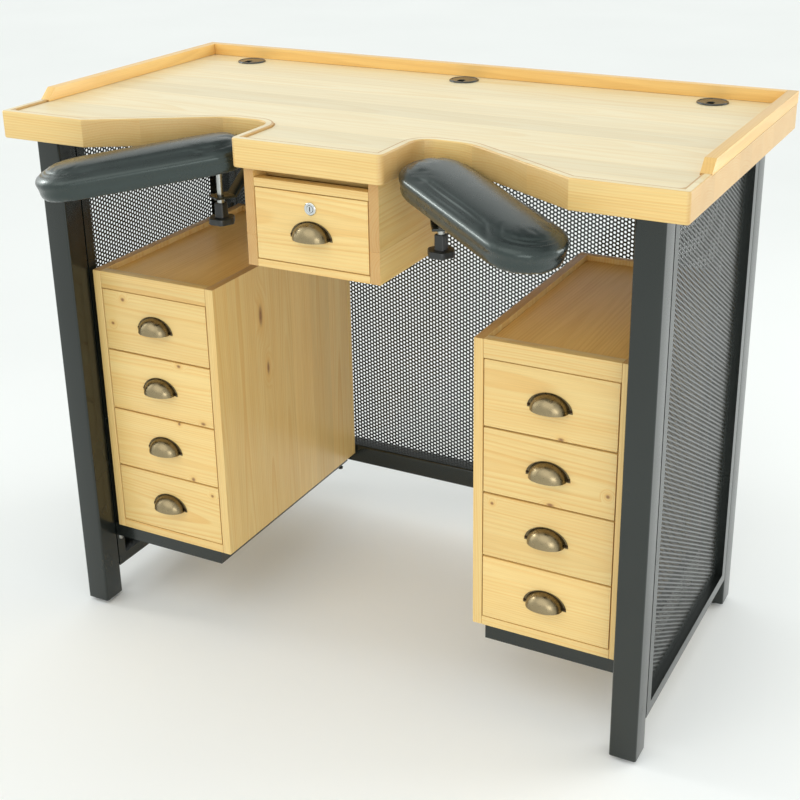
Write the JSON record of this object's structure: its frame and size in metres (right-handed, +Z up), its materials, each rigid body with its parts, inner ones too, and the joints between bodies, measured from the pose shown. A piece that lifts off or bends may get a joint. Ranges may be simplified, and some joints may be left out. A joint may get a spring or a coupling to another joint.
{
  "type": "watch_repair_bench",
  "caption": "Watchmaker's repair bench: pine top with cut-outs and swivelling padded arm rests, black steel frame with perforated panels, drawer cabinets and a locking centre drawer.",
  "frame": {"origin": "on the floor, under the middle of the bench's outline with its arm rests", "axes": "+X to the sitter's right, +Y to the back, +Z up"},
  "size_m": [1.2, 0.7502, 0.991],
  "materials": {
    "pine_top": "satin clear lacquer",
    "pine": "satin clear lacquer",
    "black_steel": "semi-gloss powder coat",
    "black_sheet": "powder-coated perforated sheet",
    "black_plastic": "moulded, matte",
    "black_leather": "glossy",
    "aged_brass": "aged, polished",
    "chrome": "polished"
  },
  "bodies": {
    "bench": {"worktop": "pine_top", "top_rail_back": "pine", "top_rail_left": "pine", "top_rail_right": "pine", "grommet_left": "black_plastic", "grommet_centre": "black_plastic", "grommet_right": "black_plastic", "back_rail_lower": "black_steel", "back_rail_upper": "black_steel", "back_panel": "black_sheet", "centre_drawer_case": "pine", "leg_front_left": "black_steel", "foot_front_left": "black_plastic", "leg_rear_left": "black_steel", "foot_rear_left": "black_plastic", "side_frame_left": "black_steel", "side_panel_left": "black_sheet", "cabinet_support_left": "black_steel", "cabinet_carcass_left": "pine", "cabinet_back_left": "pine", "cabinet_top_left": "pine", "arm_bracket_left": "black_steel", "leg_front_right": "black_steel", "foot_front_right": "black_plastic", "leg_rear_right": "black_steel", "foot_rear_right": "black_plastic", "side_frame_right": "black_steel", "side_panel_right": "black_sheet", "cabinet_support_right": "black_steel", "cabinet_carcass_right": "pine", "cabinet_back_right": "pine", "cabinet_top_right": "pine", "arm_bracket_right": "black_steel"},
    "drawer_left_1": {"drawer_left_1": "pine", "pull_left_1": "aged_brass"},
    "drawer_left_2": {"drawer_left_2": "pine", "pull_left_2": "aged_brass"},
    "drawer_left_3": {"drawer_left_3": "pine", "pull_left_3": "aged_brass"},
    "drawer_left_4": {"drawer_left_4": "pine", "pull_left_4": "aged_brass"},
    "drawer_right_1": {"drawer_right_1": "pine", "pull_right_1": "aged_brass"},
    "drawer_right_2": {"drawer_right_2": "pine", "pull_right_2": "aged_brass"},
    "drawer_right_3": {"drawer_right_3": "pine", "pull_right_3": "aged_brass"},
    "drawer_right_4": {"drawer_right_4": "pine", "pull_right_4": "aged_brass"},
    "centre_drawer": {"centre_drawer": "pine", "pull_centre": "aged_brass", "lock_body": "chrome"},
    "lock_plug": {"lock_plug": "chrome"},
    "arm_rest_left": {"arm_pad_left": "black_leather", "arm_post_left": "black_steel"},
    "arm_knob_left": {"arm_knob_left": "black_plastic"},
    "arm_rest_right": {"arm_pad_right": "black_leather", "arm_post_right": "black_steel"},
    "arm_knob_right": {"arm_knob_right": "black_plastic"}
  },
  "joints": [
    {"name": "drawer_left_1_slide", "type": "slide", "parent": "bench", "child": "drawer_left_1", "axis": [0, -1, 0], "range_m": [0, 0.3]},
    {"name": "drawer_left_2_slide", "type": "slide", "parent": "bench", "child": "drawer_left_2", "axis": [0, -1, 0], "range_m": [0, 0.3]},
    {"name": "drawer_left_3_slide", "type": "slide", "parent": "bench", "child": "drawer_left_3", "axis": [0, -1, 0], "range_m": [0, 0.3]},
    {"name": "drawer_left_4_slide", "type": "slide", "parent": "bench", "child": "drawer_left_4", "axis": [0, -1, 0], "range_m": [0, 0.3]},
    {"name": "drawer_right_1_slide", "type": "slide", "parent": "bench", "child": "drawer_right_1", "axis": [0, -1, 0], "range_m": [0, 0.3]},
    {"name": "drawer_right_2_slide", "type": "slide", "parent": "bench", "child": "drawer_right_2", "axis": [0, -1, 0], "range_m": [0, 0.3]},
    {"name": "drawer_right_3_slide", "type": "slide", "parent": "bench", "child": "drawer_right_3", "axis": [0, -1, 0], "range_m": [0, 0.3]},
    {"name": "drawer_right_4_slide", "type": "slide", "parent": "bench", "child": "drawer_right_4", "axis": [0, -1, 0], "range_m": [0, 0.3]},
    {"name": "centre_drawer_slide", "type": "slide", "parent": "bench", "child": "centre_drawer", "axis": [0, -1, 0], "range_m": [0, 0.14]},
    {"name": "lock_turn", "type": "hinge", "parent": "centre_drawer", "child": "lock_plug", "pos_m": [0, -0.23136, 0.8713], "axis": [0, -1, 0], "range_deg": [0, 90]},
    {"name": "arm_rest_left_swivel", "type": "hinge", "parent": "bench", "child": "arm_rest_left", "pos_m": [-0.2015, -0.18436, 0.855], "axis": [0, 0, 1], "range_deg": [0, 52]},
    {"name": "arm_knob_left_turn", "type": "hinge", "parent": "arm_rest_left", "child": "arm_knob_left", "pos_m": [-0.2015, -0.18436, 0.83], "axis": [0, 0, 1], "range_deg": [0, 360]},
    {"name": "arm_rest_right_swivel", "type": "hinge", "parent": "bench", "child": "arm_rest_right", "pos_m": [0.2015, -0.18436, 0.855], "axis": [0, 0, -1], "range_deg": [0, 52]},
    {"name": "arm_knob_right_turn", "type": "hinge", "parent": "arm_rest_right", "child": "arm_knob_right", "pos_m": [0.2015, -0.18436, 0.83], "axis": [0, 0, 1], "range_deg": [0, 360]}
  ]
}
